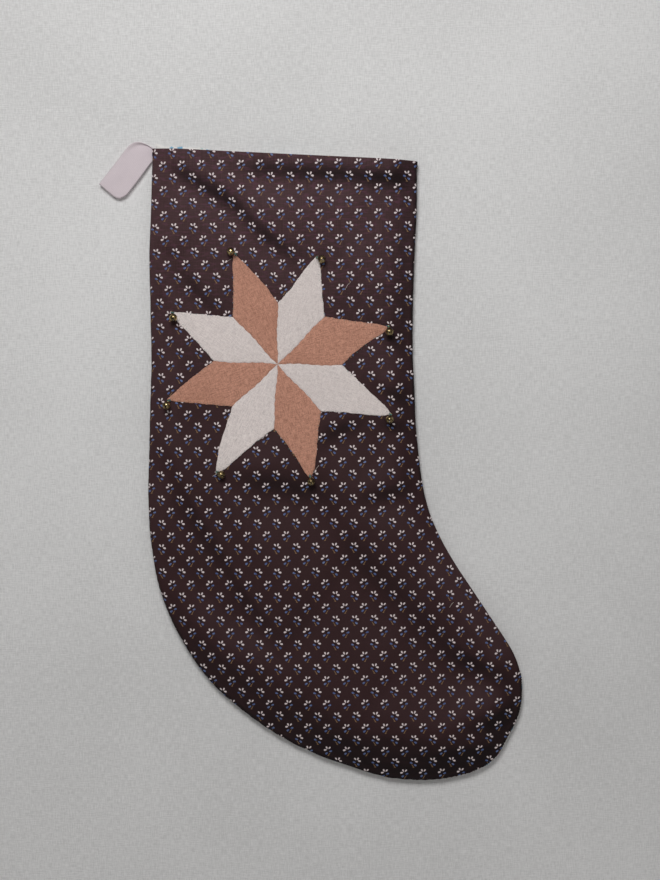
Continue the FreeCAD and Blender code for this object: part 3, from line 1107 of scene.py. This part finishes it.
def makeRibbon():
    left = smoothChain(ribbon["left"], ribbon["stepsPerSpan"])
    right = smoothChain(ribbon["right"], ribbon["stepsPerSpan"])
    columns = ribbon["columns"]
    shares = np.linspace(0, 1, columns)
    sheet = left[:, None] * (1 - shares[None, :, None]) + right[:, None] * shares[None, :, None]
    gaps = np.linalg.norm(np.diff(sheet[:, columns // 2], axis=0), axis=1)
    runs = np.concatenate([[0], np.cumsum(gaps)])
    # the stored points are x, z, depth
    x, z, y = sheet[..., 0], sheet[..., 1], sheet[..., 2]
    crown = 0.5 * np.sin(shares * math.pi)[None, :] * np.clip(runs / 20, 0, 1)[:, None]
    widths = np.linalg.norm(sheet[:, -1] - sheet[:, 0], axis=1)
    fromLeft = shares[None, :] * widths[:, None]
    arch = np.exp(-((runs - 44) / 11) ** 2)[:, None]
    y = y - ribbon["cup"] * np.exp(-(fromLeft / ribbon["cupWidth"]) ** 2) * arch
    # the fold's lower corner is rounded off
    cornerGap = np.hypot((1 - shares[None, :]) * widths[:, None], runs[:, None])
    tuck = ribbon["cornerRound"] * np.clip(1 - cornerGap / (2.6 * ribbon["cornerRound"]), 0, 1) ** 2
    heart = sheet[8, columns // 2, :2]
    toHeart = heart - sheet[..., :2]
    toHeart /= np.maximum(np.linalg.norm(toHeart, axis=2, keepdims=True), 1e-6)
    x = x + toHeart[..., 0] * tuck
    z = z + toHeart[..., 1] * tuck
    apart = ribbon["gap"] / 2 * np.clip(1 - runs / 48, 0.16, 1)
    front = np.stack([x, y - apart[:, None] - crown, z], -1)
    back = np.stack([x, y + apart[:, None] - crown * 0.6, z], -1)
    # the fold at the end: a half turn from the front layer to the back one
    out = sheet[0] - sheet[1]
    out = out / np.linalg.norm(out, axis=1, keepdims=True)
    bend = []
    for angle in (30, 60, 90, 120, 150):
        a = math.radians(angle)
        radius = ribbon["gap"] / 2
        mid = np.stack([x[0], y[0] - crown[0] * 0.8, z[0]], -1)
        ring = mid.copy()
        ring[:, 0] += out[:, 0] * radius * math.sin(a)
        ring[:, 2] += out[:, 1] * radius * math.sin(a)
        ring[:, 1] -= radius * math.cos(a)
        bend.append(ring)
    full = np.concatenate([front[::-1], np.stack(bend), back])
    lengths = np.linalg.norm(np.diff(full[:, columns // 2], axis=0), axis=1)
    along = np.concatenate([[0], np.cumsum(lengths)])
    uvs = np.stack(np.meshgrid(shares * ribbon["width"], along), -1).reshape(-1, 2)
    paint = ribbonCloth("ribbon_cloth")
    piece = makeMesh("ribbon", full.reshape(-1, 3) * mm, gridFaces(len(full), columns), paint, uvs)
    thicken(piece, ribbon["cloth"] * mm, 0.0)
    return piece, float(along[-1]) * mm


ribbonPiece, ribbonLength = makeRibbon()
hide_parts("ribbon_loop", "ribbon_tails")
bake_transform(ribbonPiece)
print("ribbon ready")


# the bells keep their CAD shells, rings and balls
brass = agedMetal("aged_brass", rgb(0.50, 0.39, 0.19), rgb(0.10, 0.072, 0.038), 0.20, 420.0)
steel = agedMetal("steel_ball", rgb(0.60, 0.60, 0.62), rgb(0.35, 0.34, 0.33), 0.25, 500.0)
finishes = {
    "bell_crown_": brass,
    "bell_jaw_": brass,
    "bell_shank_": brass,
    "pea_": steel,
    "bell_thread_": tealThread,
}
for name, node in nodes.items():
    for start, material in finishes.items():
        if name.startswith(start):
            node.data.materials.clear()
            node.data.materials.append(material)
            node.data.polygons.foreach_set("use_smooth", [True] * len(node.data.polygons))
nodes["ribbon_tacking"].data.materials.clear()
nodes["ribbon_tacking"].data.materials.append(tealThread)


# wall and floor, which aren't part of the stocking
def makePlane(name, corners, material):
    plane = makeMesh(name, corners, [(0, 1, 2, 3)], material)
    return plane


room = {"wallY": 0.0083, "floorZ": -0.62, "reach": 3.0}
wallPaint = backdropLinen("wall_linen")
reach, wallY, floorZ = room["reach"], room["wallY"], room["floorZ"]
wall = makePlane("wall", [
    (-reach, wallY, floorZ),
    (reach, wallY, floorZ),
    (reach, wallY, reach),
    (-reach, wallY, reach),
], wallPaint)
wall.visible_shadow = False
# the wall can't be seen from behind, so the back of the stocking shows
wallTree = wallPaint.node_tree
shader = wallTree.nodes["Principled BSDF"]
clear = wallTree.nodes.new("ShaderNodeBsdfTransparent")
geometry = wallTree.nodes.new("ShaderNodeNewGeometry")
mixer = wallTree.nodes.new("ShaderNodeMixShader")
links = wallTree.links
links.new(geometry.outputs["Backfacing"], mixer.inputs[0])
links.new(shader.outputs[0], mixer.inputs[1])
links.new(clear.outputs[0], mixer.inputs[2])
links.new(mixer.outputs[0], wallTree.nodes["Material Output"].inputs[0])
makePlane("floor", [
    (-reach, -reach, floorZ),
    (reach, -reach, floorZ),
    (reach, reach, floorZ),
    (-reach, reach, floorZ),
], backdropLinen("floor_linen"))


lights = {
    "key": {"place": (0.0, -1.0, 0.42), "aim": (0.12, 0.0, -0.15), "size": 0.5, "power": 9.4},
    "fill": {"place": (0.80, -0.8, 0.30), "aim": (0.25, 0.0, 0.0), "size": 0.8, "power": 0.5},
    "back": {"place": (0.5, 1.4, 0.5), "aim": (0.1, 0.0, -0.25), "size": 1.2, "power": 12.0},
    "sky": 0.12,
}


def makeLight(name, settings):
    data = bpy.data.lights.new(name, "AREA")
    data.shape = "DISK"
    data.size = settings["size"]
    data.energy = settings["power"]
    lamp = bpy.data.objects.new(name, data)
    scene.collection.objects.link(lamp)
    lamp.location = settings["place"]
    aim = Vector(settings["aim"]) - Vector(settings["place"])
    lamp.rotation_euler = aim.to_track_quat("-Z", "Y").to_euler()


for name in ("key", "fill", "back"):
    makeLight(name, lights[name])
sky = bpy.data.worlds.new("sky")
sky.use_nodes = True
sky.node_tree.nodes["Background"].inputs[0].default_value = (1.0, 0.99, 0.98, 1.0)
sky.node_tree.nodes["Background"].inputs[1].default_value = lights["sky"]
scene.world = sky
print("lights ready")
